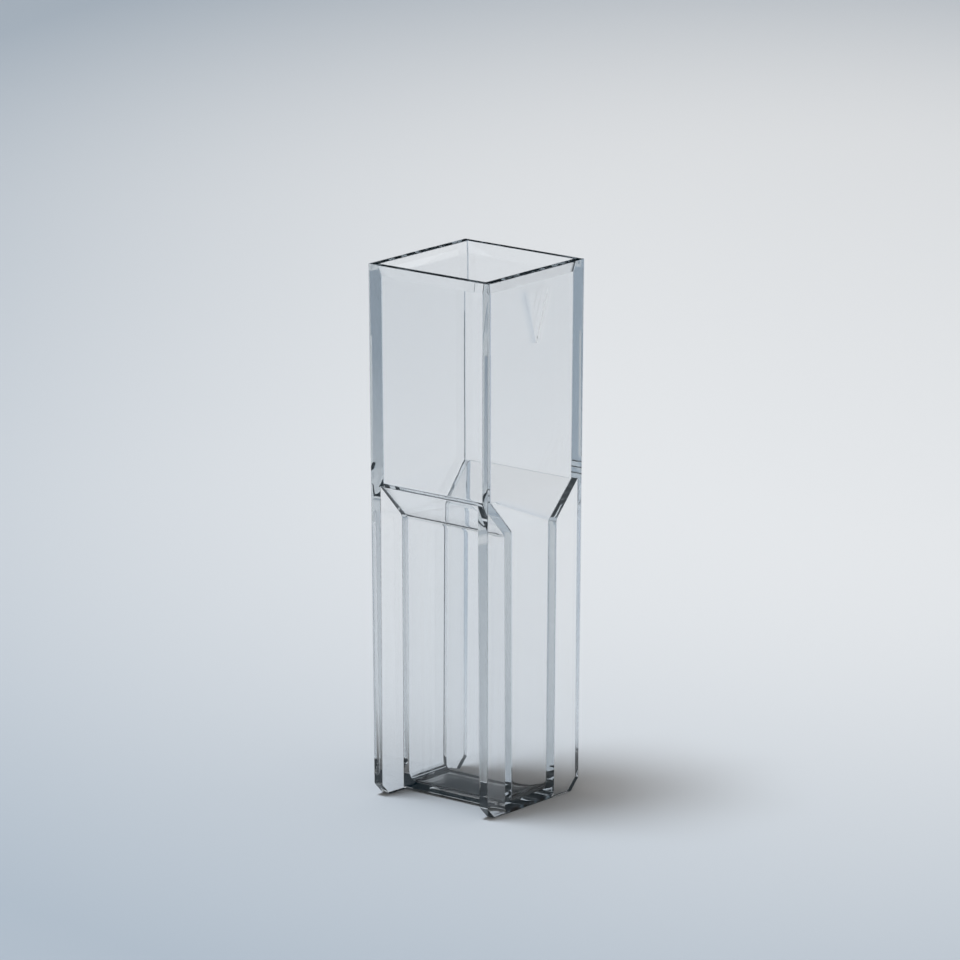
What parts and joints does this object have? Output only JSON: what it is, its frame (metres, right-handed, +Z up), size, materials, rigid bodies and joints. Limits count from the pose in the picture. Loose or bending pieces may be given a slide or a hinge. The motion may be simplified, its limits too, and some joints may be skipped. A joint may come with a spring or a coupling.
{
  "type": "cuvette",
  "caption": "Semi-micro spectrophotometer cuvette in clear polystyrene: square open top, sloping shoulders and a slim measuring chamber between two flat optical windows.",
  "frame": {"origin": "centre of the foot, on the plane that the cuvette stands on", "axes": "+Z up along the cuvette to its open rim; light crosses along Y through the two windows, and the recessed sides with the shoulders face +X and -X; the direction mark is on the window at -Y"},
  "size_m": [0.0126, 0.0126, 0.045],
  "materials": {
    "clear_polystyrene": "clear injection-moulded polystyrene with polished faces"
  },
  "bodies": {
    "root": {"cuvette": "clear_polystyrene"}
  },
  "joints": []
}
